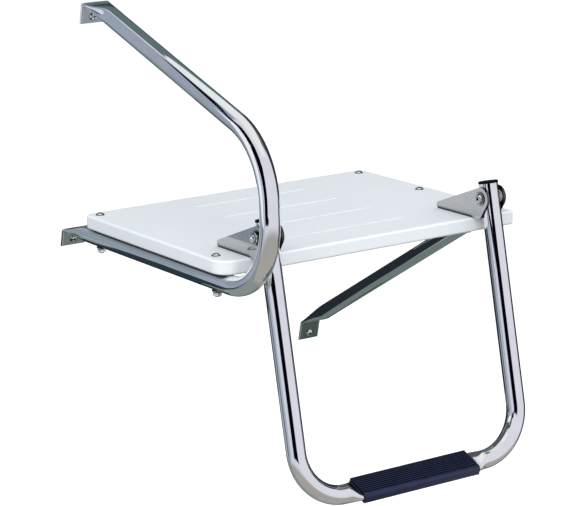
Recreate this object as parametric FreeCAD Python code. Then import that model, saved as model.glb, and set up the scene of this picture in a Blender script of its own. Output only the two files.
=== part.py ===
import FreeCAD, Part
import math
import os

Vector = FreeCAD.Vector

# Fold-up boarding ladder on a small transom platform. Millimetres.
# The origin is the lower bolt hole of the handrail, on the face that meets the boat's transom.
# +X runs across the stern, +Y forward into the boat, +Z up.

# ---- Driving dimensions ----
TUBE_OD = 25.4              # handrail, side arm and ladder tube
BRACE_OD = 22.2             # diagonal brace tube
TUBE_WALL = 1.5
FOOT_WIDTH = 38.1           # tube end pressed flat, across the ladder
BRACE_FOOT_WIDTH = 35.0
FOOT_THICK = 3.2
FOOT_INNER_BEND = 3.0       # inside radius where a foot turns down the transom
FOOT_EDGE = 10.0            # bolt hole to the end of the foot
FLATTEN_LENGTH = 47.0       # from round tube to pressed foot

TRANSOM_RAKE = math.radians(15.4)
UPPER_BOLT_RISE = 330.0     # along the transom, from the lower handrail bolt
BRACE_BOLT_DROP = 233.0
BRACE_X = 427.0             # plane of the brace and of the side arm

BOARD_WIDTH = 460.0
BOARD_DEPTH = 357.0
BOARD_THICK = 19.0
BOARD_TOP_Z = 46.0
BOARD_AFT_Y = -421.0
BOARD_LEFT_X = -15.25
BOARD_LEFT_AFT_CORNER = 25.0   # rounded off on the handrail side
BOARD_RIGHT_AFT_CORNER = 6.0
BOARD_FRONT_CORNER = 12.0
BOARD_EDGE_ROUND = 3.0
GROOVE_COUNT = 4
GROOVE_FIRST = 61.0         # from the aft edge
GROOVE_PITCH = 78.0
GROOVE_LENGTH = 182.0
GROOVE_WIDTH = 5.0
GROOVE_DEPTH = 2.2

RAIL_BEND = 96.0            # centreline radius of both handrail bends
RAIL_AFT = 90.0             # upright part of the handrail, aft of the board
RAIL_SLOPE = math.radians(17.9)
RAIL_ARM_HEIGHT = 185.0     # arm's centreline above the board's top, over its aft edge

BRACE_SLOPE = math.radians(29.3)
BRACE_TONGUE_OFFSET = 5.0   # the pressed tongue lies towards the tube's lower side
BRACE_TAPER = 38.0
BRACE_FOOT_ABOVE_BOLT = 20.0
TONGUE_END = 20.0           # tongue's end, forward of the board's aft edge
SIDE_ARM_END = 165.0        # side arm's end, forward of the board's aft edge

LADDER_OFFSET = 1.5         # ladder's middle, right of the board's middle
LEG_SPACING = 348.0
LADDER_LEAN = math.radians(10.75)
LADDER_LENGTH = 339.0       # pivot to the centreline of the bottom run
LADDER_BEND = 65.0
LEG_STUB = 18.5             # leg above its pivot
RUNG_WIDTH = 34.5           # bottom run, pressed oval under the tread
RUNG_THICK = 9.0
RUNG_TAPER = 17.0
RUNG_TILT = math.radians(32.35)   # from square to the legs

TREAD_LENGTH = 182.0
TREAD_WALL = 2.2
TREAD_GAP = 0.15
TREAD_LIP = 8.0
TREAD_NOSE = 6.0            # rounding along the front edge people step on
TREAD_HEM = 3.0             # rounding under it
TREAD_INSIDE = 3.5          # rounding inside, where the rung's round edge lies
RIB_COUNT = 9
RIB_HEIGHT = 0.8
RIB_WIDTH = 1.9

PIVOT_AFT = 17.0            # pivot, aft of the board's aft edge
PIVOT_HEIGHT = 28.5
EAR_GAP = 27.0
EAR_THICK = 2.0
EAR_ROUND = 14.6
EAR_TIP_ROUND = 4.8
EAR_TIP_FORWARD = 74.5
EAR_HEEL_ROUND = 5.0
EAR_HEEL_AFT = 12.0         # centre of the heel's rounding
BASE_AFT = 9.0              # the leg rests on this edge when the ladder is down
BASE_FORWARD = 74.0
BRACKET_SCREWS_Y = (30.0, 58.0)

PIVOT_R = 3.97
PIVOT_CLEARANCE = 0.05
BUSH_R = 5.0
BUSH_FLANGE_R = 9.0
BUSH_FLANGE = 0.7

BOLT_R = 3.15
BOLT_HOLE_R = 3.4
HEAD_R = 6.25
HEAD_HEIGHT = 3.4
NUT_FLATS = 11.1
NUT_HEIGHT = 5.6
WASHER_R = 7.0
WASHER_THICK = 1.2
BOLT_TIP = 1.6              # thread showing past a nut
TRANSOM_BOLT_FREE = 18.0    # threaded shank past the foot, for the boat's hull
THREAD_R = 2.95             # mean radius of the transom bolts' thread
FRONT_BOLT_Y = 38.0         # aft pair of board bolts, from the aft edge
MIDDLE_BOLT_Y = 190.0
BACK_BOLT_Y = 338.0

CAP_R = 13.2
CAP_THICK = 3.4
CAP_PLUG = 12.0

# ---- Places that follow ----
BOARD_BOTTOM_Z = BOARD_TOP_Z - BOARD_THICK
BOARD_MIDDLE_X = BOARD_LEFT_X + BOARD_WIDTH / 2
TUBE_R = TUBE_OD / 2
RUN_Z = BOARD_BOTTOM_Z - TUBE_R
LADDER_MIDDLE_X = BOARD_MIDDLE_X + LADDER_OFFSET
LEFT_LEG_X = LADDER_MIDDLE_X - LEG_SPACING / 2
RIGHT_LEG_X = LADDER_MIDDLE_X + LEG_SPACING / 2
PIVOT_Y = BOARD_AFT_Y - PIVOT_AFT
PIVOT_Z = BOARD_TOP_Z + PIVOT_HEIGHT
EAR_FACE = EAR_GAP / 2 + EAR_THICK
FOOT_BEND = FOOT_INNER_BEND + FOOT_THICK / 2
X_AXIS = Vector(1, 0, 0)
Y_AXIS = Vector(0, 1, 0)
Z_AXIS = Vector(0, 0, 1)
TRANSOM_UP = Vector(0, -math.sin(TRANSOM_RAKE), math.cos(TRANSOM_RAKE))
TRANSOM_NORMAL = Vector(0, math.cos(TRANSOM_RAKE), math.sin(TRANSOM_RAKE))


# ---- Small shapes ----
def fused(shapes):
    """One clean solid from shapes that touch or overlap."""
    whole = shapes[0].multiFuse(shapes[1:]) if len(shapes) > 1 else shapes[0]
    return whole.removeSplitter()


def box(low, high):
    return Part.makeBox(high[0] - low[0], high[1] - low[1], high[2] - low[2], Vector(*low))


def rod(radius, start, direction, length):
    return Part.makeCylinder(radius, length, start, direction)


def heading_vector(heading):
    """Unit vector in the YZ plane, heading measured from +Y towards +Z."""
    return Vector(0, math.cos(heading), math.sin(heading))


def oval_wire(centre, side, up, width, height):
    """Closed four-edge outline: two flats or quarter arcs, and two rounded ends."""
    half = height / 2
    flat = (width - height) / 2
    if flat < 1e-6:
        corner = [centre + (side * (a * half) + up * (b * half)) * math.sqrt(0.5)
                  for a, b in ((1, 1), (-1, 1), (-1, -1), (1, -1))]
        middle = [centre + up * half, centre - side * half, centre - up * half, centre + side * half]
        edges = [Part.Arc(corner[i], middle[i], corner[(i + 1) % 4]).toShape() for i in range(4)]
        return Part.Wire(edges)
    top_right = centre + side * flat + up * half
    top_left = centre - side * flat + up * half
    low_left = centre - side * flat - up * half
    low_right = centre + side * flat - up * half
    return Part.Wire([
        Part.makeLine(top_right, top_left),
        Part.Arc(top_left, centre - side * (flat + half), low_left).toShape(),
        Part.makeLine(low_left, low_right),
        Part.Arc(low_right, centre + side * (flat + half), top_right).toShape(),
    ])


class TubeRun:
    """Follows a bent tube in a plane of constant X and collects its solid pieces."""

    def __init__(self, point, heading, width, height):
        self.point = point
        self.heading = heading
        self.width = width
        self.height = height
        self.pieces = []

    def outline(self):
        up = heading_vector(self.heading + math.pi / 2)
        return oval_wire(self.point, X_AXIS, up, self.width, self.height)

    def straight(self, length):
        step = heading_vector(self.heading) * length
        self.pieces.append(Part.Face(self.outline()).extrude(step))
        self.point = self.point + step

    def bend(self, radius, turn):
        sign = 1 if turn > 0 else -1
        centre = self.point + heading_vector(self.heading + sign * math.pi / 2) * radius
        face = Part.Face(self.outline())
        self.pieces.append(face.revolve(centre, X_AXIS, math.degrees(turn)))
        arm = self.point - centre
        spin = FreeCAD.Rotation(X_AXIS, math.degrees(turn))
        self.point = centre + spin.multVec(arm)
        self.heading += turn

    def taper(self, length, width, height, shift=0.0):
        start = self.outline()
        side_step = heading_vector(self.heading + math.pi / 2) * shift
        self.point = self.point + heading_vector(self.heading) * length + side_step
        self.width = width
        self.height = height
        self.pieces.append(Part.makeLoft([start, self.outline()], True, True))

    def solid(self):
        return fused(self.pieces)


def transom_point(x, rise, off=0.0):
    """A point by its distance up the transom and its distance into the boat."""
    return Vector(x, 0, 0) + TRANSOM_UP * rise + TRANSOM_NORMAL * off


def foot_apex_rise(point, heading):
    """Where a centreline through point meets the middle plane of a foot, as a rise up the transom."""
    direction = heading_vector(heading)
    gap = -FOOT_THICK / 2 - point.dot(TRANSOM_NORMAL)
    reach = gap / direction.dot(TRANSOM_NORMAL)
    return (point + direction * reach).dot(TRANSOM_UP)


def bend_tangent(turn):
    return FOOT_BEND * math.tan(abs(turn) / 2)


def foot_hole(x, rise):
    start = transom_point(x, rise, -FOOT_THICK - 2)
    return rod(BOLT_HOLE_R, start, TRANSOM_NORMAL, FOOT_THICK + 4)


def board_hole(x, y, depth):
    return rod(BOLT_HOLE_R, Vector(x, y, BOARD_TOP_Z + 1), Vector(0, 0, -1), depth + 1)


# ---- Tubes ----
def start_foot(x, bolt_rise, apex_rise, turn, width):
    """A pressed foot standing on the transom, up to the end of its bend."""
    start = transom_point(x, bolt_rise - FOOT_EDGE, -FOOT_THICK / 2)
    run = TubeRun(start, math.pi / 2 + TRANSOM_RAKE, width, FOOT_THICK)
    run.straight(apex_rise - bolt_rise + FOOT_EDGE - bend_tangent(turn))
    run.bend(FOOT_BEND, turn)
    return run


def rail_path(run):
    """The handrail's round part, from the end of the lower taper to the start of the upper one."""
    lower_tangent_y = BOARD_AFT_Y - RAIL_AFT + RAIL_BEND
    run.straight(run.point.y - lower_tangent_y)
    run.bend(RAIL_BEND, -math.pi / 2)
    arm_z = BOARD_TOP_Z + RAIL_ARM_HEIGHT + (lower_tangent_y - BOARD_AFT_Y) * math.tan(RAIL_SLOPE)
    upper_centre_z = arm_z - RAIL_BEND / math.cos(RAIL_SLOPE)
    run.straight(upper_centre_z - run.point.z)
    run.bend(RAIL_BEND, RAIL_SLOPE - math.pi / 2)
    last_turn = math.pi / 2 - TRANSOM_RAKE + RAIL_SLOPE
    direction = heading_vector(RAIL_SLOPE)
    gap = -FOOT_THICK / 2 - run.point.dot(TRANSOM_NORMAL)
    apex = gap / direction.dot(TRANSOM_NORMAL)
    run.straight(apex - FLATTEN_LENGTH - bend_tangent(last_turn))
    return last_turn


def bore_run(outer):
    """The hollow inside a tube, starting where the round part starts."""
    return TubeRun(outer.point, outer.heading, TUBE_OD - 2 * TUBE_WALL, TUBE_OD - 2 * TUBE_WALL)


def make_handrail():
    first_turn = math.pi / 2 - TRANSOM_RAKE
    apex = foot_apex_rise(Vector(0, 0, RUN_Z), math.pi)
    run = start_foot(0, 0, apex, first_turn, FOOT_WIDTH)
    run.taper(FLATTEN_LENGTH, TUBE_OD, TUBE_OD)
    bore = bore_run(run)
    last_turn = rail_path(run)
    rail_path(bore)
    run.taper(FLATTEN_LENGTH, FOOT_WIDTH, FOOT_THICK)
    run.bend(FOOT_BEND, -last_turn)
    end_rise = UPPER_BOLT_RISE - FOOT_EDGE
    run.straight(run.point.dot(TRANSOM_UP) - end_rise)
    rail = run.solid().cut(bore.solid())
    holes = [foot_hole(0, 0), foot_hole(0, UPPER_BOLT_RISE)]
    for y in (FRONT_BOLT_Y, BACK_BOLT_Y):
        holes.append(board_hole(0, BOARD_AFT_Y + y, BOARD_THICK + TUBE_OD + 2))
    return rail.cut(holes)


def make_side_arm():
    first_turn = math.pi / 2 - TRANSOM_RAKE
    apex = foot_apex_rise(Vector(0, 0, RUN_Z), math.pi)
    run = start_foot(BRACE_X, 0, apex, first_turn, FOOT_WIDTH)
    run.taper(FLATTEN_LENGTH, TUBE_OD, TUBE_OD)
    bore = bore_run(run)
    length = run.point.y - (BOARD_AFT_Y + SIDE_ARM_END)
    run.straight(length)
    bore.straight(length + 1)
    holes = [foot_hole(BRACE_X, 0)]
    for y in (MIDDLE_BOLT_Y, BACK_BOLT_Y):
        holes.append(board_hole(BRACE_X, BOARD_AFT_Y + y, BOARD_THICK + TUBE_OD + 2))
    return run.solid().cut([bore.solid()] + holes)


def make_brace():
    heading = math.pi - BRACE_SLOPE
    first_turn = heading - math.pi / 2 - TRANSOM_RAKE
    apex = -BRACE_BOLT_DROP + BRACE_FOOT_ABOVE_BOLT
    run = start_foot(BRACE_X, -BRACE_BOLT_DROP, apex, first_turn, BRACE_FOOT_WIDTH)
    run.taper(FLATTEN_LENGTH, BRACE_OD, BRACE_OD)
    bore = TubeRun(run.point, run.heading, BRACE_OD - 2 * TUBE_WALL, BRACE_OD - 2 * TUBE_WALL)
    tongue_z = BOARD_BOTTOM_Z - FOOT_THICK / 2
    drop = BRACE_TONGUE_OFFSET * math.cos(BRACE_SLOPE)
    climb = tongue_z - run.point.z + drop
    length = climb / math.sin(BRACE_SLOPE) - BRACE_TAPER - bend_tangent(BRACE_SLOPE)
    run.straight(length)
    bore.straight(length)
    run.taper(BRACE_TAPER, BRACE_FOOT_WIDTH, FOOT_THICK, BRACE_TONGUE_OFFSET)
    run.bend(FOOT_BEND, BRACE_SLOPE)
    run.straight(run.point.y - (BOARD_AFT_Y + TONGUE_END))
    holes = [foot_hole(BRACE_X, -BRACE_BOLT_DROP)]
    holes.append(board_hole(BRACE_X, BOARD_AFT_Y + FRONT_BOLT_Y, BOARD_THICK + FOOT_THICK + 2))
    return run.solid().cut([bore.solid()] + holes)


# ---- Board ----
def board_outline():
    """Rounded rectangle with one large corner, aft on the handrail side."""
    left, right = BOARD_LEFT_X, BOARD_LEFT_X + BOARD_WIDTH
    aft, front = BOARD_AFT_Y, BOARD_AFT_Y + BOARD_DEPTH
    corners = [(left, aft, BOARD_LEFT_AFT_CORNER, 1, 1), (right, aft, BOARD_RIGHT_AFT_CORNER, -1, 1),
               (right, front, BOARD_FRONT_CORNER, -1, -1), (left, front, BOARD_FRONT_CORNER, 1, -1)]
    arcs = []
    for x, y, radius, in_x, in_y in corners:
        on_x = Vector(x + in_x * radius, y, BOARD_BOTTOM_Z)
        on_y = Vector(x, y + in_y * radius, BOARD_BOTTOM_Z)
        pull = radius * (1 - math.sqrt(0.5))
        middle = Vector(x + in_x * pull, y + in_y * pull, BOARD_BOTTOM_Z)
        ends = (on_y, on_x) if in_x == in_y else (on_x, on_y)
        arcs.append((ends[0], middle, ends[1]))
    edges = []
    for i, (start, middle, end) in enumerate(arcs):
        edges.append(Part.Arc(start, middle, end).toShape())
        edges.append(Part.makeLine(end, arcs[(i + 1) % 4][0]))
    return Part.Wire(edges)


def make_board():
    board = Part.Face(board_outline()).extrude(Vector(0, 0, BOARD_THICK))
    rims = [e for e in board.Edges
            if abs(e.BoundBox.ZMax - e.BoundBox.ZMin) < 1e-6]
    board = board.makeFillet(BOARD_EDGE_ROUND, rims)
    cuts = []
    half = GROOVE_LENGTH / 2 - GROOVE_WIDTH / 2
    for i in range(GROOVE_COUNT):
        y = BOARD_AFT_Y + GROOVE_FIRST + i * GROOVE_PITCH
        centre = Vector(BOARD_MIDDLE_X, y, BOARD_TOP_Z - GROOVE_DEPTH)
        outline = oval_wire(centre, X_AXIS, Y_AXIS, 2 * half + GROOVE_WIDTH, GROOVE_WIDTH)
        cuts.append(Part.Face(outline).extrude(Vector(0, 0, GROOVE_DEPTH + 1)))
    for x, y in board_bolt_places():
        cuts.append(board_hole(x, BOARD_AFT_Y + y, BOARD_THICK + 2))
    for x, y in bracket_screw_places():
        cuts.append(board_hole(x, y, BOARD_THICK + 2))
    return board.cut(cuts)


def board_bolt_places():
    left = [(0.0, FRONT_BOLT_Y), (0.0, BACK_BOLT_Y)]
    right = [(BRACE_X, FRONT_BOLT_Y), (BRACE_X, MIDDLE_BOLT_Y), (BRACE_X, BACK_BOLT_Y)]
    return left + right


def bracket_screw_places():
    return [(x, BOARD_AFT_Y + y) for x in (LEFT_LEG_X, RIGHT_LEG_X) for y in BRACKET_SCREWS_Y]


# ---- Hinge brackets ----
def tangent_points(c1, r1, c2, r2, side):
    """Ends of the outer tangent of two circles, on the left (+1) or right (-1) of c1 to c2."""
    dy, dz = c2[0] - c1[0], c2[1] - c1[1]
    base = math.atan2(dz, dy)
    swing = math.acos((r1 - r2) / math.hypot(dy, dz))
    angle = base + side * swing
    return ((c1[0] + r1 * math.cos(angle), c1[1] + r1 * math.sin(angle)),
            (c2[0] + r2 * math.cos(angle), c2[1] + r2 * math.sin(angle)))


def ear_face(x):
    """Side plate: rounded over the pivot, tapering to a small rounded toe, with a rounded heel."""
    pivot = (PIVOT_Y, PIVOT_Z)
    toe = (BOARD_AFT_Y + EAR_TIP_FORWARD, BOARD_TOP_Z + EAR_TIP_ROUND)
    heel = (BOARD_AFT_Y - EAR_HEEL_AFT, BOARD_TOP_Z + EAR_HEEL_ROUND)
    top_a, top_b = tangent_points(pivot, EAR_ROUND, toe, EAR_TIP_ROUND, 1)
    heel_a, heel_b = tangent_points(pivot, EAR_ROUND, heel, EAR_HEEL_ROUND, -1)
    aft_angle = math.atan2(top_a[1] - pivot[1], top_a[0] - pivot[0]) + math.pi / 2
    over = (pivot[0] + EAR_ROUND * math.cos(aft_angle), pivot[1] + EAR_ROUND * math.sin(aft_angle))
    heel_low = (heel[0], BOARD_TOP_Z)
    heel_turn = (math.atan2(heel_b[1] - heel[1], heel_b[0] - heel[0]) - math.pi / 2) / 2
    heel_middle = (heel[0] + EAR_HEEL_ROUND * math.cos(heel_turn), heel[1] + EAR_HEEL_ROUND * math.sin(heel_turn))
    toe_front = (toe[0] + EAR_TIP_ROUND, toe[1])
    toe_low = (toe[0], BOARD_TOP_Z)

    def at(point):
        return Vector(x, point[0], point[1])

    wire = Part.Wire([
        Part.makeLine(at(heel_low), at(toe_low)),
        Part.Arc(at(toe_low), at(toe_front), at(top_b)).toShape(),
        Part.makeLine(at(top_b), at(top_a)),
        Part.Arc(at(top_a), at(over), at(heel_a)).toShape(),
        Part.makeLine(at(heel_a), at(heel_b)),
        Part.Arc(at(heel_b), at(heel_middle), at(heel_low)).toShape(),
    ])
    return Part.Face(wire)


def make_bracket(x):
    left_ear = ear_face(x - EAR_FACE).extrude(Vector(EAR_THICK, 0, 0))
    right_ear = ear_face(x + EAR_GAP / 2).extrude(Vector(EAR_THICK, 0, 0))
    base = box((x - EAR_FACE, BOARD_AFT_Y - BASE_AFT, BOARD_TOP_Z),
               (x + EAR_FACE, BOARD_AFT_Y + BASE_FORWARD, BOARD_TOP_Z + EAR_THICK))
    bracket = fused([left_ear, right_ear, base])
    pivot_hole = rod(PIVOT_R + 0.1, Vector(x - EAR_FACE - 1, PIVOT_Y, PIVOT_Z), X_AXIS, 2 * EAR_FACE + 2)
    holes = [pivot_hole]
    for y in BRACKET_SCREWS_Y:
        start = Vector(x, BOARD_AFT_Y + y, BOARD_TOP_Z - 1)
        holes.append(rod(BOLT_HOLE_R, start, Z_AXIS, EAR_THICK + 2))
    return bracket.cut(holes)


# ---- Ladder, built upright under its pivot, then leaned aft ----
def lean_ladder(shape):
    shape.rotate(Vector(0, PIVOT_Y, PIVOT_Z), X_AXIS, -math.degrees(LADDER_LEAN))
    return shape


def rung_axes():
    """Directions across the pressed rung, before the ladder is leaned."""
    wide = Vector(0, math.cos(RUNG_TILT), math.sin(RUNG_TILT))
    thin = Vector(0, -math.sin(RUNG_TILT), math.cos(RUNG_TILT))
    return wide, thin


def ladder_body(radius, leg_top):
    """Half-tube pieces of the U, mirrored in code so both legs match."""
    rung_z = PIVOT_Z - LADDER_LENGTH
    bend_z = rung_z + LADDER_BEND
    wide, thin = rung_axes()
    shrink = TUBE_R - radius
    pieces = []
    flat_ends = []
    for side, leg_x in ((1, LEFT_LEG_X), (-1, RIGHT_LEG_X)):
        top = Vector(leg_x, PIVOT_Y, leg_top)
        pieces.append(rod(radius, Vector(leg_x, PIVOT_Y, bend_z), Z_AXIS, top.z - bend_z))
        circle = Part.Face(Part.Wire(Part.makeCircle(radius, Vector(leg_x, PIVOT_Y, bend_z), Z_AXIS)))
        centre = Vector(leg_x + side * LADDER_BEND, PIVOT_Y, bend_z)
        pieces.append(circle.revolve(centre, Vector(0, -side, 0), 90))
        bend_end = Vector(centre.x, PIVOT_Y, rung_z)
        taper_end = bend_end + X_AXIS * (side * RUNG_TAPER)
        round_wire = oval_wire(bend_end, wide, thin, 2 * radius, 2 * radius)
        flat_wire = oval_wire(taper_end, wide, thin, RUNG_WIDTH - 2 * shrink, RUNG_THICK - 2 * shrink)
        pieces.append(Part.makeLoft([round_wire, flat_wire], True, True))
        flat_ends.append((taper_end, flat_wire))
    length = flat_ends[1][0].x - flat_ends[0][0].x
    pieces.append(Part.Face(flat_ends[0][1]).extrude(Vector(length, 0, 0)))
    return fused(pieces)


def make_ladder_tube():
    leg_top = PIVOT_Z + LEG_STUB
    outer = ladder_body(TUBE_R, leg_top)
    bore = ladder_body(TUBE_R - TUBE_WALL, leg_top + 1)
    holes = []
    for x in (LEFT_LEG_X, RIGHT_LEG_X):
        start = Vector(x - TUBE_R - 1, PIVOT_Y, PIVOT_Z)
        holes.append(rod(BUSH_R, start, X_AXIS, TUBE_OD + 2))
    for x in tread_screw_places():
        holes.append(tread_screw_rod(x, 2.0))
    return lean_ladder(outer.cut([bore] + holes))


def make_leg_cap(x):
    top = Vector(x, PIVOT_Y, PIVOT_Z + LEG_STUB)
    flange = Part.makeCylinder(CAP_R, CAP_THICK, top, Z_AXIS)
    rim = [e for e in flange.Edges if abs(e.BoundBox.ZMin - flange.BoundBox.ZMax) < 1e-6]
    flange = flange.makeFillet(1.2, rim)
    plug = rod(TUBE_R - TUBE_WALL, top - Z_AXIS * CAP_PLUG, Z_AXIS, CAP_PLUG)
    clear_bush = rod(BUSH_FLANGE_R, Vector(x - TUBE_OD, PIVOT_Y, PIVOT_Z), X_AXIS, 2 * TUBE_OD)
    return lean_ladder(fused([flange, plug]).cut(clear_bush))


def tread_screw_places():
    reach = TREAD_LENGTH / 2 - 22
    return (LADDER_MIDDLE_X - reach, LADDER_MIDDLE_X + reach)


def tread_screw_rod(x, radius):
    """Screw hole through the underside of the rung into the tread."""
    _, thin = rung_axes()
    centre = Vector(x, PIVOT_Y, PIVOT_Z - LADDER_LENGTH)
    start = centre - thin * (RUNG_THICK / 2 + 1)
    return rod(radius, start, thin, RUNG_THICK + 2.4)


def corner_points(centre, radius, start, end):
    """Points along a rounded corner, angles in degrees."""
    points = []
    for step in range(5):
        angle = math.radians(start + (end - start) * step / 4)
        points.append((centre[0] + radius * math.cos(angle), centre[1] + radius * math.sin(angle)))
    return points


def tread_profile():
    """Points of the tread's C section as (across, height) from the rung's centre; ribs on top."""
    half = RUNG_WIDTH / 2 + TREAD_GAP
    deep = RUNG_THICK / 2 + TREAD_GAP
    outer = half + TREAD_WALL
    top = deep + TREAD_WALL - RIB_HEIGHT
    base = -deep - TREAD_WALL
    points = [(-outer, base), (-outer, top)]
    pitch = (2 * outer - TREAD_NOSE - 3.0) / RIB_COUNT
    for i in range(RIB_COUNT):
        start = -outer + 1.2 + i * pitch
        points += [(start, top), (start + 0.3, top + RIB_HEIGHT),
                   (start + RIB_WIDTH - 0.3, top + RIB_HEIGHT), (start + RIB_WIDTH, top)]
    points += corner_points((outer - TREAD_NOSE, top - TREAD_NOSE), TREAD_NOSE, 90, 0)
    points += corner_points((outer - TREAD_HEM, base + TREAD_HEM), TREAD_HEM, 0, -90)
    points += [(outer - TREAD_LIP, base), (outer - TREAD_LIP, -deep), (half, -deep)]
    points += corner_points((half - TREAD_INSIDE, deep - TREAD_INSIDE), TREAD_INSIDE, 0, 90)
    points += corner_points((TREAD_INSIDE - half, deep - TREAD_INSIDE), TREAD_INSIDE, 90, 180)
    points += [(-half, -deep), (-outer + TREAD_LIP, -deep), (-outer + TREAD_LIP, base)]
    return points


def make_tread():
    wide, thin = rung_axes()
    start = Vector(LADDER_MIDDLE_X - TREAD_LENGTH / 2, PIVOT_Y, PIVOT_Z - LADDER_LENGTH)
    # The nose is on the aft side of the rung, so "across" runs aft.
    corners = [start - wide * a + thin * h for a, h in tread_profile()]
    tread = Part.Face(Part.makePolygon(corners + corners[:1])).extrude(X_AXIS * TREAD_LENGTH)
    holes = [tread_screw_rod(x, 1.6) for x in tread_screw_places()]
    return lean_ladder(tread.cut(holes))


def make_tread_screws():
    _, thin = rung_axes()
    screws = []
    for x in tread_screw_places():
        centre = Vector(x, PIVOT_Y, PIVOT_Z - LADDER_LENGTH)
        seat = centre - thin * (RUNG_THICK / 2)
        shank = rod(1.6, seat, thin, RUNG_THICK + 1.2)
        head = rod(3.4, seat, thin * -1, 1.9)
        screws.append(lean_ladder(fused([shank, head])))
    return Part.makeCompound(screws)


# ---- Pivot hardware ----
def make_bushes():
    """A flanged bush in each side of each leg."""
    bushes = []
    for x in (LEFT_LEG_X, RIGHT_LEG_X):
        for side in (-1, 1):
            wall = Vector(x + side * TUBE_R, PIVOT_Y, PIVOT_Z)
            out = Vector(side, 0, 0)
            flange = rod(BUSH_FLANGE_R, wall, out, BUSH_FLANGE)
            barrel = rod(BUSH_R, wall - out * 5, out, 5)
            bore = rod(PIVOT_R + PIVOT_CLEARANCE, wall - out * 6, out, 6 + BUSH_FLANGE + 1)
            bushes.append(lean_ladder(fused([flange, barrel]).cut(bore)))
    return Part.makeCompound(bushes)


def dome(radius, height, base, direction):
    """Low domed head: a slice of a ball on a flat seat."""
    ball_r = (radius * radius + height * height) / (2 * height)
    ball = Part.makeSphere(ball_r, base - direction * (ball_r - height))
    return ball.common(rod(radius + 0.01, base, direction, height + 1))


def cross_recess(base, direction, size, depth):
    """Cross-shaped driver recess."""
    other = direction.cross(X_AXIS)
    first = X_AXIS
    if other.Length < 0.1:
        other = Z_AXIS
        first = Y_AXIS
    arms = []
    for along, wide in ((first, other), (other, first)):
        corner = base - along * size - wide * (size * 0.26)
        outline = Part.makePolygon([corner, corner + along * (2 * size),
                                    corner + along * (2 * size) + wide * (size * 0.52),
                                    corner + wide * (size * 0.52), corner])
        arms.append(Part.Face(outline).extrude(direction * depth))
    return fused(arms)


def domed_screw(seat, out, length):
    """Machine screw: domed head standing out from its seat, shank going the other way."""
    head = dome(HEAD_R, HEAD_HEIGHT, seat, out)
    shank = rod(BOLT_R, seat, out * -1, length)
    recess = cross_recess(seat + out * (HEAD_HEIGHT - 1.6), out, 2.9, 3.0)
    return fused([head, shank]).cut(recess)


def ring(outer, inner, start, direction, thick):
    return rod(outer, start, direction, thick).cut(rod(inner, start, direction, thick))


def hexagon(centre, direction, flats, height):
    side = Z_AXIS if abs(direction.x) > 0.5 else X_AXIS
    other = direction.cross(side)
    reach = flats / math.sqrt(3)
    corners = [centre + side * (reach * math.cos(math.pi / 3 * i)) + other * (reach * math.sin(math.pi / 3 * i))
               for i in range(6)]
    return Part.Face(Part.makePolygon(corners + corners[:1])).extrude(direction * height)


def hex_nut(seat, direction, bolt_r):
    blank = hexagon(seat, direction, NUT_FLATS, NUT_HEIGHT)
    collar = rod(NUT_FLATS / 2 * 1.12, seat, direction, NUT_HEIGHT)
    return blank.common(collar).cut(rod(bolt_r, seat, direction, NUT_HEIGHT))


def pivot_sides():
    """Each pivot bolt's leg and the way its head points: inboard, with the cap nut outboard."""
    return ((LEFT_LEG_X, 1), (RIGHT_LEG_X, -1))


def make_pivot_bolts():
    bolts = []
    for x, inboard in pivot_sides():
        out = Vector(inboard, 0, 0)
        seat = Vector(x, PIVOT_Y, PIVOT_Z) + out * (EAR_FACE + WASHER_THICK)
        head = dome(HEAD_R, 4.6, seat, out)
        shank = rod(PIVOT_R, seat, out * -1, 2 * (EAR_FACE + WASHER_THICK) + 6)
        recess = hexagon(seat + out * 2.4, out, 4.4, 4.0)
        bolts.append(fused([head, shank]).cut(recess))
    return Part.makeCompound(bolts)


def make_pivot_washers():
    washers = []
    for x, _ in pivot_sides():
        for side in (-1, 1):
            start = Vector(x + side * EAR_FACE, PIVOT_Y, PIVOT_Z)
            washers.append(ring(WASHER_R + 1, PIVOT_R + 0.1, start, Vector(side, 0, 0), WASHER_THICK))
    return Part.makeCompound(washers)


def make_pivot_nuts():
    """Cap nuts: a hexagon under a closed dome."""
    nuts = []
    for x, inboard in pivot_sides():
        out = Vector(-inboard, 0, 0)
        seat = Vector(x, PIVOT_Y, PIVOT_Z) + out * (EAR_FACE + WASHER_THICK)
        base = hexagon(seat, out, 13.0, 4.5).common(rod(7.2, seat, out, 4.5))
        crown = dome(5.8, 4.2, seat + out * 4.5, out)
        bore = rod(PIVOT_R, seat, out, 6)
        nuts.append(fused([base, crown]).cut(bore))
    return Part.makeCompound(nuts)


# ---- Fasteners ----
def board_bolt(x, y, under):
    """Screw from the board's top, through the board and what hangs under it."""
    seat = Vector(x, y, BOARD_TOP_Z)
    length = BOARD_THICK + under + WASHER_THICK + NUT_HEIGHT + BOLT_TIP
    return domed_screw(seat, Z_AXIS, length)


def under_places():
    """Every nut below the board: where it is and how far below the board's bottom it sits."""
    places = [(x, BOARD_AFT_Y + y, TUBE_OD) for x, y in board_bolt_places()]
    places[2] = (BRACE_X, BOARD_AFT_Y + FRONT_BOLT_Y, FOOT_THICK)
    return places


def make_board_bolts(indexes):
    places = under_places()
    return Part.makeCompound([board_bolt(*places[i]) for i in indexes])


def washers_and_nuts(places):
    down = Vector(0, 0, -1)
    washers = []
    nuts = []
    for x, y, under in places:
        seat = Vector(x, y, BOARD_BOTTOM_Z - under)
        washers.append(ring(WASHER_R, BOLT_R + 0.2, seat, down, WASHER_THICK))
        nuts.append(hex_nut(seat + down * WASHER_THICK, down, BOLT_R))
    return Part.makeCompound(washers), Part.makeCompound(nuts)


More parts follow.
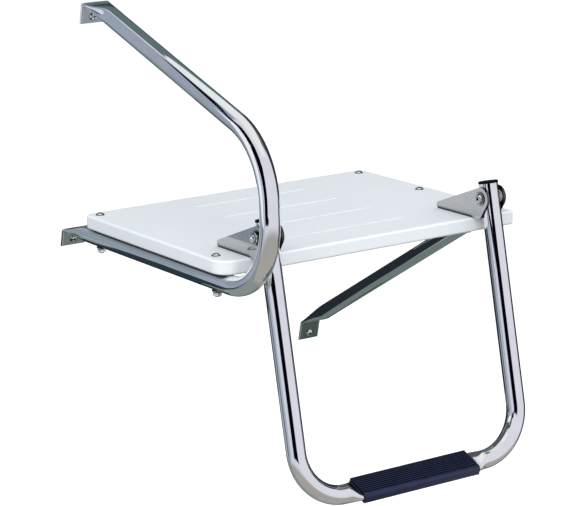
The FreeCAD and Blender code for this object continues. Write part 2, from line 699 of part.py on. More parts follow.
def make_bracket_screws():
    screws = []
    length = EAR_THICK + BOARD_THICK + WASHER_THICK + NUT_HEIGHT + BOLT_TIP
    for x, y in bracket_screw_places():
        screws.append(domed_screw(Vector(x, y, BOARD_TOP_Z + EAR_THICK), Z_AXIS, length))
    return Part.makeCompound(screws)


def transom_bolt_places():
    return ((0.0, 0.0), (0.0, UPPER_BOLT_RISE), (BRACE_X, 0.0), (BRACE_X, -BRACE_BOLT_DROP))


def make_transom_bolts():
    """A plain shank fills each foot's hole; the thread starts at the transom's face."""
    bolts = []
    for x, rise in transom_bolt_places():
        seat = transom_point(x, rise, -FOOT_THICK)
        screw = domed_screw(seat, TRANSOM_NORMAL * -1, FOOT_THICK)
        thread = rod(THREAD_R, transom_point(x, rise), TRANSOM_NORMAL, TRANSOM_BOLT_FREE)
        bolts.append(fused([screw, thread]))
    return Part.makeCompound(bolts)


def make_parts():
    board_washers, board_nuts = washers_and_nuts(under_places())
    screw_places = [(x, y, 0.0) for x, y in bracket_screw_places()]
    bracket_washers, bracket_nuts = washers_and_nuts(screw_places)
    return {
        "handrail_tube": make_handrail(),
        "side_arm_tube": make_side_arm(),
        "brace_tube": make_brace(),
        "platform_board": make_board(),
        "hinge_bracket_left": make_bracket(LEFT_LEG_X),
        "hinge_bracket_right": make_bracket(RIGHT_LEG_X),
        "ladder_tube": make_ladder_tube(),
        "step_tread": make_tread(),
        "tread_screws": make_tread_screws(),
        "leg_cap_left": make_leg_cap(LEFT_LEG_X),
        "leg_cap_right": make_leg_cap(RIGHT_LEG_X),
        "pivot_bushes": make_bushes(),
        "pivot_bolts": make_pivot_bolts(),
        "pivot_washers": make_pivot_washers(),
        "pivot_cap_nuts": make_pivot_nuts(),
        "handrail_bolts": make_board_bolts((0, 1)),
        "side_arm_bolts": make_board_bolts((3, 4)),
        "brace_bolt": make_board_bolts((2,)),
        "board_bolt_washers": board_washers,
        "board_bolt_nuts": board_nuts,
        "bracket_screws": make_bracket_screws(),
        "bracket_washers": bracket_washers,
        "bracket_nuts": bracket_nuts,
        "transom_bolts": make_transom_bolts(),
    }


os.makedirs("parts", exist_ok=True)
for name, shape in make_parts().items():
    shape.exportStep("parts/" + name + ".step")
    print(name, len(shape.Solids), "solids", round(shape.Volume / 1000, 2), "cm3", shape.isValid())
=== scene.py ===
import math

import bmesh
import bpy
from mathutils import Matrix, Vector


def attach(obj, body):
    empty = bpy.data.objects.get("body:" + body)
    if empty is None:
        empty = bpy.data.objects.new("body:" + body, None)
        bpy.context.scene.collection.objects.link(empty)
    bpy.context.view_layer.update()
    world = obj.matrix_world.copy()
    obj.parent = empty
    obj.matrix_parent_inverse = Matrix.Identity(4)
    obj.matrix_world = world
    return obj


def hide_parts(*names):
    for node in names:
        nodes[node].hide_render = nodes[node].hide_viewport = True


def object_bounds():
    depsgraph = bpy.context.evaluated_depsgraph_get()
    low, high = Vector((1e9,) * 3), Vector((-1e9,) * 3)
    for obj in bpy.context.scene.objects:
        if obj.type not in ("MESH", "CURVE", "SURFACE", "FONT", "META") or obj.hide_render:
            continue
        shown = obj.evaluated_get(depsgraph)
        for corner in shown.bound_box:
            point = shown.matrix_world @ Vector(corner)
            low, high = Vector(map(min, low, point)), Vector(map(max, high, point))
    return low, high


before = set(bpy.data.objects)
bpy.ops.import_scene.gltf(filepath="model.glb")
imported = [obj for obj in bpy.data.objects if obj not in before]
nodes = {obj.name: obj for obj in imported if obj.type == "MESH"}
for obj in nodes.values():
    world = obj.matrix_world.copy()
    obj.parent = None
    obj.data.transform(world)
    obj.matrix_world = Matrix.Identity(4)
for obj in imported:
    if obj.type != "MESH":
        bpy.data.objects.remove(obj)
cad_low, cad_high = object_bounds()

MM = 0.001
X_AXIS = Vector((1, 0, 0))
Z_AXIS = Vector((0, 0, 1))

# ---- Sizes shared with the CAD design, in millimetres ----
TUBE_OD = 25.4
TUBE_WALL = 1.5
BRACE_OD = 22.2
FOOT_WIDTH = 38.1
BRACE_FOOT_WIDTH = 35.0
FOOT_THICK = 3.2
FOOT_BEND = 4.6             # centreline radius where a foot turns down the transom
FOOT_EDGE = 10.0
FLATTEN_LENGTH = 47.0
TRANSOM_RAKE = math.radians(15.4)
UPPER_BOLT_RISE = 330.0
BRACE_BOLT_DROP = 233.0
BRACE_X = 427.0
BOARD_TOP_Z = 46.0
BOARD_BOTTOM_Z = 27.0
BOARD_AFT_Y = -421.0
BOARD_MIDDLE_X = 214.75
BOARD_MIDDLE_Y = -242.5
GROOVE_AREA = (190.0, 300.0)
LADDER_MIDDLE_X = 216.25
RAIL_BEND = 96.0
RAIL_AFT = 90.0
RAIL_SLOPE = math.radians(17.9)
RAIL_ARM_HEIGHT = 185.0
BRACE_SLOPE = math.radians(29.3)
BRACE_TONGUE_OFFSET = 5.0
BRACE_TAPER = 38.0
BRACE_FOOT_ABOVE_BOLT = 20.0
TONGUE_END = 20.0
SIDE_ARM_END = 165.0
LEG_SPACING = 348.0
LADDER_LEAN = math.radians(10.75)
LADDER_LENGTH = 339.0
LADDER_BEND = 65.0
LEG_STUB = 18.5
RUNG_WIDTH = 34.5
RUNG_THICK = 9.0
RUNG_TAPER = 17.0
RUNG_TILT = math.radians(32.35)
TREAD_LENGTH = 182.0
TREAD_WALL = 2.2
TREAD_GAP = 0.15
TREAD_LIP = 8.0
TREAD_NOSE = 6.0
TREAD_HEM = 3.0
TREAD_INSIDE = 3.5
CAP_R = 13.2
CAP_ROUND = 1.2
CAP_THICK = 3.4
RIB_COUNT = 9
PIVOT_Y = -438.0
PIVOT_Z = 74.5

TUBE_R = TUBE_OD / 2
RUN_Z = BOARD_BOTTOM_Z - TUBE_R
TRANSOM_UP = Vector((0, -math.sin(TRANSOM_RAKE), math.cos(TRANSOM_RAKE)))
TRANSOM_NORMAL = Vector((0, math.cos(TRANSOM_RAKE), math.sin(TRANSOM_RAKE)))
RING_POINTS = 72
END_STEP = 0.5              # a square-cut end steps in by END_SHRINK over this length
END_SHRINK = 0.6

# ---- Camera, in metres ----
CAMERA_PLACE = Vector((-1.4723, -2.8283, 0.7376))
CAMERA_YAW = math.radians(-33.01)
CAMERA_PITCH = math.radians(13.62)
CAMERA_ROLL = math.radians(-1.58)
CAMERA_LENS = 143.8         # millimetres, for a sensor 36 mm wide


# ---- Meshes ----
def link(obj):
    bpy.context.scene.collection.objects.link(obj)
    return obj


def mesh_object(name, bm, smooth_angle=35.0):
    """Turns a bmesh in millimetres into a smooth-shaded object in metres."""
    bmesh.ops.recalc_face_normals(bm, faces=bm.faces)
    bmesh.ops.scale(bm, vec=(MM, MM, MM), verts=bm.verts)
    limit = math.radians(smooth_angle)
    for face in bm.faces:
        face.smooth = True
    for edge in bm.edges:
        edge.smooth = not (edge.is_manifold and edge.calc_face_angle(0.0) > limit)
    mesh = bpy.data.meshes.new(name)
    bm.to_mesh(mesh)
    bm.free()
    return link(bpy.data.objects.new(name, mesh))


def skin(bm, rings, closed_ends=True):
    """Joins rings of equally many points with quads, and caps both ends."""
    loops = [[bm.verts.new(p) for p in ring] for ring in rings]
    count = len(loops[0])
    for low, high in zip(loops, loops[1:]):
        for i in range(count):
            j = (i + 1) % count
            bm.faces.new((low[i], low[j], high[j], high[i]))
    if closed_ends:
        bm.faces.new(list(reversed(loops[0])))
        bm.faces.new(loops[-1])


def section(centre, wide_dir, thin_dir, width, height, shrink=0.0):
    """Outline that is a circle when width equals height, and a flat oval otherwise."""
    radius = height / 2 - shrink
    flat = (width - height) / 2
    steepness = 2.2     # spreads the points over the flat sides
    points = []
    for i in range(RING_POINTS):
        angle = 2 * math.pi * (i + 0.5) / RING_POINTS
        spread = max(-1.0, min(1.0, steepness * math.cos(angle)))
        across = flat * spread + radius * math.cos(angle)
        points.append(centre + wide_dir * across + thin_dir * (radius * math.sin(angle)))
    return points


def ease(t):
    return t * t * (3 - 2 * t)


def heading_vector(heading):
    return Vector((0, math.cos(heading), math.sin(heading)))


class TubeRun:
    """Follows a bent tube in a plane of constant X and collects its cross-sections."""

    def __init__(self, point, heading, width, height):
        self.point = point.copy()
        self.heading = heading
        self.width = width
        self.height = height
        self.rings = []
        self.mark(END_SHRINK)
        self.point = self.point + heading_vector(heading) * END_STEP
        self.mark()

    def mark(self, shrink=0.0):
        up = heading_vector(self.heading + math.pi / 2)
        self.rings.append(section(self.point, X_AXIS, up, self.width, self.height, shrink))

    def straight(self, length, steps=1):
        for _ in range(steps):
            self.point = self.point + heading_vector(self.heading) * (length / steps)
            self.mark()

    def bend(self, radius, turn, steps):
        side = math.copysign(math.pi / 2, turn)
        centre = self.point + heading_vector(self.heading + side) * radius
        for _ in range(steps):
            self.heading += turn / steps
            self.point = centre - heading_vector(self.heading + side) * radius
            self.mark()

    def taper(self, length, width, height, shift=0.0, steps=20):
        """Presses the tube from one section to another; shift moves the centreline sideways."""
        start = self.point.copy()
        old_width, old_height = self.width, self.height
        along = heading_vector(self.heading)
        up = heading_vector(self.heading + math.pi / 2)
        for i in range(1, steps + 1):
            t = i / steps
            self.point = start + along * (length * t) + up * (shift * ease(t))
            self.width = old_width + (width - old_width) * ease(t)
            self.height = old_height + (height - old_height) * ease(t)
            self.mark()

    def finish_flat(self):
        """A slightly softened square-cut end."""
        self.point = self.point + heading_vector(self.heading) * END_STEP
        self.mark(END_SHRINK)

    def finish_open(self, wall, depth):
        """An open tube end that shows its wall and the hollow inside."""
        along = heading_vector(self.heading)
        up = heading_vector(self.heading + math.pi / 2)
        inner = self.width - 2 * wall
        self.rings.append(section(self.point, X_AXIS, up, inner, inner))
        self.rings.append(section(self.point - along * depth, X_AXIS, up, inner, inner))

    def build(self, name):
        bm = bmesh.new()
        skin(bm, self.rings)
        return mesh_object(name, bm)


def transom_point(x, rise, off=0.0):
    return X_AXIS * x + TRANSOM_UP * rise + TRANSOM_NORMAL * off


def plate_reach(point, heading):
    """Distance from point along heading to the middle plane of the feet."""
    gap = -FOOT_THICK / 2 - point.dot(TRANSOM_NORMAL)
    return gap / heading_vector(heading).dot(TRANSOM_NORMAL)


def bend_tangent(turn):
    return FOOT_BEND * math.tan(abs(turn) / 2)


def start_foot(x, bolt_rise, apex_rise, turn, width):
    start = transom_point(x, bolt_rise - FOOT_EDGE, -FOOT_THICK / 2)
    run = TubeRun(start, math.pi / 2 + TRANSOM_RAKE, width, FOOT_THICK)
    run.straight(apex_rise - bolt_rise + FOOT_EDGE - bend_tangent(turn) - END_STEP)
    run.bend(FOOT_BEND, turn, 10)
    return run


def run_foot(x):
    """Foot of a tube that lies flat under the board, up to where it is round again."""
    first_turn = math.pi / 2 - TRANSOM_RAKE
    level = Vector((x, 0, RUN_Z))
    apex = level + heading_vector(math.pi) * plate_reach(level, math.pi)
    run = start_foot(x, 0.0, apex.dot(TRANSOM_UP), first_turn, FOOT_WIDTH)
    run.taper(FLATTEN_LENGTH, TUBE_OD, TUBE_OD)
    return run


def upright_top():
    """Height where the handrail's upright part ends and its upper bend starts."""
    arm_z = BOARD_TOP_Z + RAIL_ARM_HEIGHT + (RAIL_BEND - RAIL_AFT) * math.tan(RAIL_SLOPE)
    return arm_z - RAIL_BEND / math.cos(RAIL_SLOPE)


def build_handrail():
    run = run_foot(0.0)
    bend_y = BOARD_AFT_Y - RAIL_AFT + RAIL_BEND
    run.straight(run.point.y - bend_y, 6)
    run.bend(RAIL_BEND, -math.pi / 2, 48)
    run.straight(upright_top() - run.point.z, 2)
    run.bend(RAIL_BEND, RAIL_SLOPE - math.pi / 2, 40)
    last_turn = math.pi / 2 - TRANSOM_RAKE + RAIL_SLOPE
    length = plate_reach(run.point, RAIL_SLOPE) - FLATTEN_LENGTH - bend_tangent(last_turn)
    run.straight(length, 6)
    run.taper(FLATTEN_LENGTH, FOOT_WIDTH, FOOT_THICK)
    run.bend(FOOT_BEND, -last_turn, 12)
    run.straight(run.point.dot(TRANSOM_UP) - (UPPER_BOLT_RISE - FOOT_EDGE) - END_STEP)
    run.finish_flat()
    return run.build("handrail")


def build_side_arm():
    run = run_foot(BRACE_X)
    run.straight(run.point.y - (BOARD_AFT_Y + SIDE_ARM_END), 2)
    run.finish_open(TUBE_WALL, 30.0)
    return run.build("side_arm")


def build_brace():
    heading = math.pi - BRACE_SLOPE
    first_turn = heading - math.pi / 2 - TRANSOM_RAKE
    apex = BRACE_FOOT_ABOVE_BOLT - BRACE_BOLT_DROP
    run = start_foot(BRACE_X, -BRACE_BOLT_DROP, apex, first_turn, BRACE_FOOT_WIDTH)
    run.taper(FLATTEN_LENGTH, BRACE_OD, BRACE_OD)
    tongue_z = BOARD_BOTTOM_Z - FOOT_THICK / 2
    climb = tongue_z - run.point.z + BRACE_TONGUE_OFFSET * math.cos(BRACE_SLOPE)
    run.straight(climb / math.sin(BRACE_SLOPE) - BRACE_TAPER - bend_tangent(BRACE_SLOPE), 6)
    run.taper(BRACE_TAPER, BRACE_FOOT_WIDTH, FOOT_THICK, BRACE_TONGUE_OFFSET)
    run.bend(FOOT_BEND, BRACE_SLOPE, 6)
    run.straight(run.point.y - (BOARD_AFT_Y + TONGUE_END) - END_STEP)
    run.finish_flat()
    return run.build("brace")


# Directions of the leaned ladder: down its legs is -LADDER_UP, out of its plane is LADDER_OUT.
LADDER_UP = Vector((0, math.sin(LADDER_LEAN), math.cos(LADDER_LEAN)))
LADDER_OUT = Vector((0, math.cos(LADDER_LEAN), -math.sin(LADDER_LEAN)))


def ladder_point(x, down):
    return Vector((x, PIVOT_Y, PIVOT_Z)) - LADDER_UP * down


def rung_directions(inward):
    """Wide and thin directions of the tube where inward points to the bend's inside."""
    wide = LADDER_OUT * math.cos(RUNG_TILT) + inward * math.sin(RUNG_TILT)
    thin = LADDER_OUT * -math.sin(RUNG_TILT) + inward * math.cos(RUNG_TILT)
    return wide, thin


def build_ladder_tube():
    left = LADDER_MIDDLE_X - LEG_SPACING / 2
    right = LADDER_MIDDLE_X + LEG_SPACING / 2
    bend_down = LADDER_LENGTH - LADDER_BEND
    leg_steps, bend_steps, taper_steps = 8, 40, 16
    stations = []
    for i in range(leg_steps + 1):
        down = -LEG_STUB + (bend_down + LEG_STUB) * i / leg_steps
        stations.append((ladder_point(left, down), X_AXIS, TUBE_OD, TUBE_OD))
    for i in range(1, bend_steps + 1):
        a = math.pi / 2 * i / bend_steps
        x = left + LADDER_BEND * (1 - math.cos(a))
        point = ladder_point(x, bend_down + LADDER_BEND * math.sin(a))
        inward = X_AXIS * math.cos(a) + LADDER_UP * math.sin(a)
        stations.append((point, inward, TUBE_OD, TUBE_OD))
    for i in range(1, taper_steps + 1):
        t = i / taper_steps
        point = ladder_point(left + LADDER_BEND + RUNG_TAPER * t, LADDER_LENGTH)
        width = TUBE_OD + (RUNG_WIDTH - TUBE_OD) * ease(t)
        height = TUBE_OD + (RUNG_THICK - TUBE_OD) * ease(t)
        stations.append((point, LADDER_UP, width, height))
    mirrored = []
    for point, inward, width, height in reversed(stations):
        flipped = Vector((left + right - point.x, point.y, point.z))
        turned = Vector((-inward.x, inward.y, inward.z))
        mirrored.append((flipped, turned, width, height))
    rings = []
    for point, inward, width, height in stations + mirrored:
        wide, thin = rung_directions(inward)
        rings.append(section(point, wide, thin, width, height))
    bm = bmesh.new()
    skin(bm, rings)
    return mesh_object("ladder_frame", bm)


def arc(centre, radius, start, end, steps):
    """Points of an arc in (across, height), angles in degrees."""
    points = []
    for i in range(steps + 1):
        angle = math.radians(start + (end - start) * i / steps)
        points.append((centre[0] + radius * math.cos(angle), centre[1] + radius * math.sin(angle)))
    return points


def tread_profile():
    """The tread's C section with rounded ribs, as (aft, height) from the rung's centre."""
    half = RUNG_WIDTH / 2 + TREAD_GAP
    deep = RUNG_THICK / 2 + TREAD_GAP
    outer = half + TREAD_WALL
    lower_round = 1.0
    upper_round = 1.4
    rim = 2.4
    rib_height = 0.9
    top = deep + TREAD_WALL - rib_height
    base = -deep - TREAD_WALL
    points = arc((-outer + lower_round, base + lower_round), lower_round, 270, 180, 4)
    points += arc((-outer + upper_round, top + rib_height - upper_round), upper_round, 180, 100, 5)
    first = -outer + rim
    pitch = (outer - TREAD_NOSE - first) / RIB_COUNT
    groove_r = pitch * 0.2
    rib_r = pitch * 0.28
    for i in range(RIB_COUNT):
        left = first + i * pitch
        points += arc((left + pitch * 0.22, top + 0.35), groove_r, 180, 360, 5)
        points += arc((left + pitch * 0.72, top + rib_height - rib_r), rib_r, 165, 15, 6)
    points += arc((outer - TREAD_NOSE, top + rib_height - TREAD_NOSE), TREAD_NOSE, 88, 0, 16)
    points += arc((outer - TREAD_HEM, base + TREAD_HEM), TREAD_HEM, 0, -90, 8)
    points += [(outer - TREAD_LIP, base), (outer - TREAD_LIP, -deep), (half, -deep)]
    points += arc((half - TREAD_INSIDE, deep - TREAD_INSIDE), TREAD_INSIDE, 0, 90, 6)
    points += arc((TREAD_INSIDE - half, deep - TREAD_INSIDE), TREAD_INSIDE, 90, 180, 6)
    points += [(-half, -deep), (-outer + TREAD_LIP, -deep), (-outer + TREAD_LIP, base)]
    return points


def build_tread():
    wide, thin = rung_directions(LADDER_UP)
    middle = ladder_point(LADDER_MIDDLE_X, LADDER_LENGTH)
    rings = []
    half = TREAD_LENGTH / 2
    inset = 0.985
    for x, scale in ((-half, inset), (END_STEP - half, 1.0), (half - END_STEP, 1.0), (half, inset)):
        centre = middle + X_AXIS * x
        rings.append([centre - wide * (a * scale) + thin * (h * scale) for a, h in tread_profile()])
    bm = bmesh.new()
    skin(bm, rings)
    return mesh_object("tread", bm, 50.0)


def build_cap(name, x):
    """Push-in leg cap with a crowned top and a small step at its rim."""
    rim = 0.3
    profile = [(CAP_R - rim, 0.0), (CAP_R, rim)]
    profile += arc((CAP_R - CAP_ROUND, CAP_THICK - CAP_ROUND), CAP_ROUND, 0, 90, 6)
    profile += [(7.0, CAP_THICK + 0.05), (0.8, CAP_THICK + 0.1)]
    rings = []
    for radius, height in profile:
        centre = ladder_point(x, -LEG_STUB - height)
        rings.append(section(centre, X_AXIS, LADDER_OUT, 2 * radius, 2 * radius))
    bm = bmesh.new()
    skin(bm, rings)
    return mesh_object(name, bm, 40.0)


# ---- Materials ----
class Nodes:
    """Small helper for building a material's or world's nodes."""

    def __init__(self, tree):
        self.tree = tree
        tree.nodes.clear()

    def add(self, kind, inputs=None, **settings):
        node = self.tree.nodes.new(kind)
        for key, value in settings.items():
            setattr(node, key, value)
        for key, value in (inputs or {}).items():
            if isinstance(value, bpy.types.NodeSocket):
                self.tree.links.new(value, node.inputs[key])
            else:
                node.inputs[key].default_value = value
        return node

    def math(self, operation, *values, clamp=False):
        node = self.add("ShaderNodeMath", dict(enumerate(values)), operation=operation)
        node.use_clamp = clamp
        return node.outputs[0]

    def noise(self, vector, scale, detail=3.0):
        node = self.add("ShaderNodeTexNoise", {"Vector": vector, "Scale": scale, "Detail": detail})
        return node.outputs["Fac"]

    def spread(self, value, low, high):
        """Stretches a 0.3 to 0.7 noise value to low..high."""
        inputs = {"Value": value, "From Min": 0.3, "From Max": 0.7, "To Min": low, "To Max": high}
        return self.add("ShaderNodeMapRange", inputs).outputs[0]

    def position(self, scale=(1, 1, 1)):
        coords = self.add("ShaderNodeTexCoord").outputs["Object"]
        return self.add("ShaderNodeMapping", {"Vector": coords, "Scale": scale}).outputs[0]

    def bump(self, height, strength, distance):
        inputs = {"Height": height, "Strength": strength, "Distance": distance}
        return self.add("ShaderNodeBump", inputs).outputs[0]

    def surface(self, inputs):
        shader = self.add("ShaderNodeBsdfPrincipled", inputs)
        self.add("ShaderNodeOutputMaterial", {"Surface": shader.outputs[0]})


def new_material(name):
    material = bpy.data.materials.new(name)
    material.use_nodes = True
    return material, Nodes(material.node_tree)


def tinted(n, value, first, second):
    """Mixes two colours, given or computed, by a 0 to 1 value."""
    node = n.add("ShaderNodeMix", data_type="RGBA")
    n.tree.links.new(value, node.inputs["Factor"])
    for index, colour in ((6, first), (7, second)):
        if isinstance(colour, bpy.types.NodeSocket):
            n.tree.links.new(colour, node.inputs[index])
        else:
            node.inputs[index].default_value = (*colour, 1)
    return node.outputs[2]


def painted_contact_shade(n, clean, distance, amount):
    """Painted contact shade: darkens a colour where something stands close over the surface."""
    openness = n.add("ShaderNodeAmbientOcclusion", {"Distance": distance}).outputs["AO"]
    shade_share = n.math("MULTIPLY", n.math("SUBTRACT", 1.0, openness), amount, clamp=True)
    return tinted(n, shade_share, clean, (0.02, 0.022, 0.025))


def polished_steel(name, tone, low, high, grain, shade_reach, shade_strength):
    """Mirror-polished stainless with faint polishing marks and handling haze, and painted shade in the
    corners.
    """
    material, n = new_material(name)
    haze = n.noise(n.position(), 28.0, 4.0)
    marks = n.noise(n.position(grain), 9.0, 5.0)
    roughness = n.math("ADD", n.spread(haze, low, high), n.spread(marks, -0.01, 0.015), clamp=True)
    clean = tinted(n, n.spread(haze, 0.0, 1.0), tuple(c * 0.93 for c in tone), tone)
    n.surface({
        # Painted shade: the colour darkens where other parts stand close.
        "Base Color": painted_contact_shade(n, clean, shade_reach * MM, shade_strength),
        "Metallic": 1.0,
        "Roughness": roughness,
        "Normal": n.bump(marks, 0.05, 0.0002),
    })
    return material


def satin_steel():
    """Bright rolled sheet with fine grain lines; its edges are painted dark as shade, and it gets painted
    shade where parts stand close.
    """
    material, n = new_material("satin_stainless")
    grain = n.noise(n.position((900, 60, 900)), 1.0, 6.0)
    cloud = n.noise(n.position(), 45.0, 3.0)
    # Painted shade on the edges: faces that neither face along X nor lie level are coloured dark.
    normal = n.add("ShaderNodeNewGeometry").outputs["True Normal"]
    facing = n.add("ShaderNodeSeparateXYZ", {"Vector": normal}).outputs
    off_face = n.math("LESS_THAN", n.math("ABSOLUTE", facing[0]), 0.9)
    not_level = n.math("LESS_THAN", facing[2], 0.985)
    edge = n.math("MULTIPLY", off_face, not_level)
    face = tinted(n, n.spread(grain, 0.0, 1.0), (0.47, 0.47, 0.47), (0.54, 0.54, 0.54))
    n.surface({
        # Painted contact shade darkens the colour where parts stand close.
        "Base Color": painted_contact_shade(n, tinted(n, edge, face, (0.07, 0.075, 0.08)), 5.0 * MM, 3.5),
        "Metallic": 0.88,
        "Roughness": n.math("ADD", n.spread(grain, 0.05, 0.10), n.spread(cloud, -0.01, 0.03)),
        "Normal": n.bump(grain, 0.03, 0.0001),
    })
    return material


def board_plastic():
    """White marine polymer with an orange-peel skin; its milled grooves get a painted highlight, a whiter
    colour.
    """
    material, n = new_material("white_board")
    peel = n.noise(n.position(), 900.0, 2.0)
    cloud = n.noise(n.position(), 7.0, 2.0)
    skin_white = tinted(n, n.spread(cloud, 0.0, 1.0), (0.80, 0.835, 0.86), (0.83, 0.86, 0.88))
    place = n.add("ShaderNodeSeparateXYZ", {"Vector": n.position()}).outputs
    normal = n.add("ShaderNodeNewGeometry").outputs["True Normal"]
    facing = n.add("ShaderNodeSeparateXYZ", {"Vector": normal}).outputs
    # Painted highlight: the groove faces below the top that face upward are coloured whiter.
    groove_highlight = n.math("LESS_THAN", place[2], (BOARD_TOP_Z - 0.1) * MM)
    for test in (
        n.math("GREATER_THAN", facing[2], 0.25),
        n.math("COMPARE", place[0], BOARD_MIDDLE_X * MM, GROOVE_AREA[0] / 2 * MM),
        n.math("COMPARE", place[1], BOARD_MIDDLE_Y * MM, GROOVE_AREA[1] / 2 * MM),
    ):
        groove_highlight = n.math("MULTIPLY", groove_highlight, test)
    n.surface({
        "Base Color": tinted(n, groove_highlight, skin_white, (0.97, 0.985, 0.99)),
        "Roughness": n.spread(peel, 0.40, 0.50),
        "Normal": n.bump(peel, 0.08, 0.0001),
    })
    return material


def tread_plastic():
    """Navy-black moulding with a leathery fine grain and a waxy sheen; its grooves get painted shade, near
    black and with a weaker reflection.
    """
    material, n = new_material("navy_tread")
    grain = n.noise(n.position(), 1400.0, 3.0)
    wear = n.noise(n.position(), 60.0, 4.0)
    # Painted shade: where the ribs stand close the colour goes near black and the reflection weaker.
    openness = n.add("ShaderNodeAmbientOcclusion", {"Distance": 0.0015}).outputs["AO"]
    open_range = {"Value": openness, "From Min": 0.80, "From Max": 0.97}
    unshaded = n.add("ShaderNodeMapRange", open_range).outputs[0]
    navy = tinted(n, n.spread(wear, 0.0, 1.0), (0.005, 0.0065, 0.022), (0.009, 0.0115, 0.036))
    n.surface({
        "Base Color": tinted(n, unshaded, (0.0005, 0.0006, 0.002), navy),
        "Roughness": n.math("ADD", n.spread(grain, 0.24, 0.32), n.spread(wear, -0.03, 0.04)),
        "Specular IOR Level": n.math("MULTIPLY", unshaded, 0.8),
        "Specular Tint": (0.52, 0.60, 1.0, 1),
        "Normal": n.bump(grain, 0.05, 0.0001),
    })
    return material


def cap_rubber():
    material, n = new_material("black_cap")
    grain = n.noise(n.position(), 1100.0, 3.0)
    n.surface({
        "Base Color": tinted(n, n.spread(grain, 0.0, 1.0), (0.002, 0.002, 0.002), (0.005, 0.005, 0.006)),
        "Roughness": n.spread(grain, 0.42, 0.56),
        "Specular IOR Level": 0.04,
        "Normal": n.bump(grain, 0.2, 0.0002),
    })
    return material


def nylon():
    material, n = new_material("white_nylon")
    grain = n.noise(n.position(), 700.0, 3.0)
    n.surface({
        "Base Color": tinted(n, n.spread(grain, 0.0, 1.0), (0.66, 0.65, 0.60), (0.74, 0.73, 0.69)),
        "Roughness": n.spread(grain, 0.45, 0.55),
        "Subsurface Weight": 0.05,
    })
    return material


def paint(obj, material):
    obj.data.materials.clear()
    obj.data.materials.append(material)


# ---- Pieces ----
# The last two numbers of each set the painted contact shade: its reach in millimetres and its strength.
tube_steel = polished_steel("polished_stainless", (0.90, 0.91, 0.93), 0.03, 0.07, (90, 90, 90), 8.0, 1.2)
bolt_steel = polished_steel("bright_fastener", (0.82, 0.83, 0.85), 0.08, 0.16, (300, 300, 300), 4.0, 6.0)
bracket_steel = satin_steel()
rubber = cap_rubber()

TUBES = [
    (build_handrail, "handrail_tube", "platform"),
    (build_side_arm, "side_arm_tube", "platform"),
    (build_brace, "brace_tube", "platform"),
    (build_ladder_tube, "ladder_tube", "ladder"),
]
for build, node, body in TUBES:
    piece = build()
    paint(piece, tube_steel)
    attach(piece, body)
    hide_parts(node)

tread = build_tread()
paint(tread, tread_plastic())
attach(tread, "ladder")
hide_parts("step_tread")

for side, sign in (("left", -1), ("right", 1)):
    cap = build_cap("cap_" + side, LADDER_MIDDLE_X + sign * LEG_SPACING / 2)
    paint(cap, rubber)
    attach(cap, "ladder")
    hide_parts("leg_cap_" + side)

CAD_MATERIALS = {
    "platform_board": board_plastic(),
    "hinge_bracket_left": bracket_steel,
    "hinge_bracket_right": bracket_steel,
    "pivot_bushes": nylon(),
}
for name, obj in nodes.items():
    if obj.hide_render:
        continue
    paint(obj, CAD_MATERIALS.get(name, bolt_steel))

for name in ("hinge_bracket_left", "hinge_bracket_right"):
    bevel = nodes[name].modifiers.new("worn_edges", "BEVEL")
    bevel.width = 0.35 * MM
    bevel.segments = 2
    bevel.limit_method = "ANGLE"
    bevel.angle_limit = math.radians(40)


# ---- Studio ----
def soft_step(n, value, centre, half, blur):
    """1 inside centre +- half, fading to 0 over blur."""
    away = n.math("ABSOLUTE", n.math("SUBTRACT", value, centre))
    inputs = {"Value": away, "From Min": half + blur, "From Max": half - blur}
    return n.add("ShaderNodeMapRange", inputs, interpolation_type="SMOOTHSTEP").outputs[0]


BLACK = (0.0, 0.0, 0.002)
PALE_LILAC = (0.77, 0.77, 0.84)     # what the metal sees where there is no panel or card
BACK_CARD_Y = 150
LEFT_CARD_X = -400

# The dark band up the handrail: (distance past the upright's end, left edge, right edge), where the
# edges are shares of the tube's radius, to the left (-) or right of its middle as the camera sees it.
# It keeps its width round most of the bend, narrows at the bend's end and crosses over on the arm.
DARK_BAND = [
    (-25, -0.45, -0.10),
    (70, -0.45, -0.10),
    (115, -0.30, -0.15),
    (150, -0.15, 0.15),
    (290, 0.10, 0.20),
]

# The far studio as the polished metal sees it, each panel laid over those before it. Angles are
# in degrees and the compass runs clockwise from +Y:
# (name, compass centre, half width, elevation centre, half height, edge blur, colour)
STUDIO_PANELS = [
    ("ground", 0, 200, -57, 36, 9.0, (0.40, 0.385, 0.355)),
    ("ground_back", 0, 62, -50, 30, 4.0, (0.26, 0.30, 0.29)),
    ("left_wall", -105, 21, 14, 34, 3.0, (0.66, 0.70, 0.78)),
    ("left_corner", -72, 14, 14, 34, 5.0, (0.42, 0.46, 0.54)),
    ("ceiling", 0, 200, 78, 16, 4.0, (0.82, 0.83, 0.80)),
    ("far_side", 30, 46, 20, 43, 3.0, (0.12, 0.175, 0.18)),
    ("dark_corner", -53, 8, -8, 12, 3.0, (0.10, 0.11, 0.12)),
    ("back_wall", -30, 17, 16, 35, 2.5, (0.345, 0.39, 0.475)),
    ("high_side", 82, 30, 50, 13, 3.0, (0.14, 0.15, 0.15)),
    ("far_low", 42, 16, 3, 15, 3.0, (0.05, 0.06, 0.065)),
    ("dark_side", 76, 28, 5, 32, 3.0, (0.035, 0.038, 0.043)),
    ("camera_side", -142, 21, 4, 12, 2.0, BLACK),
]


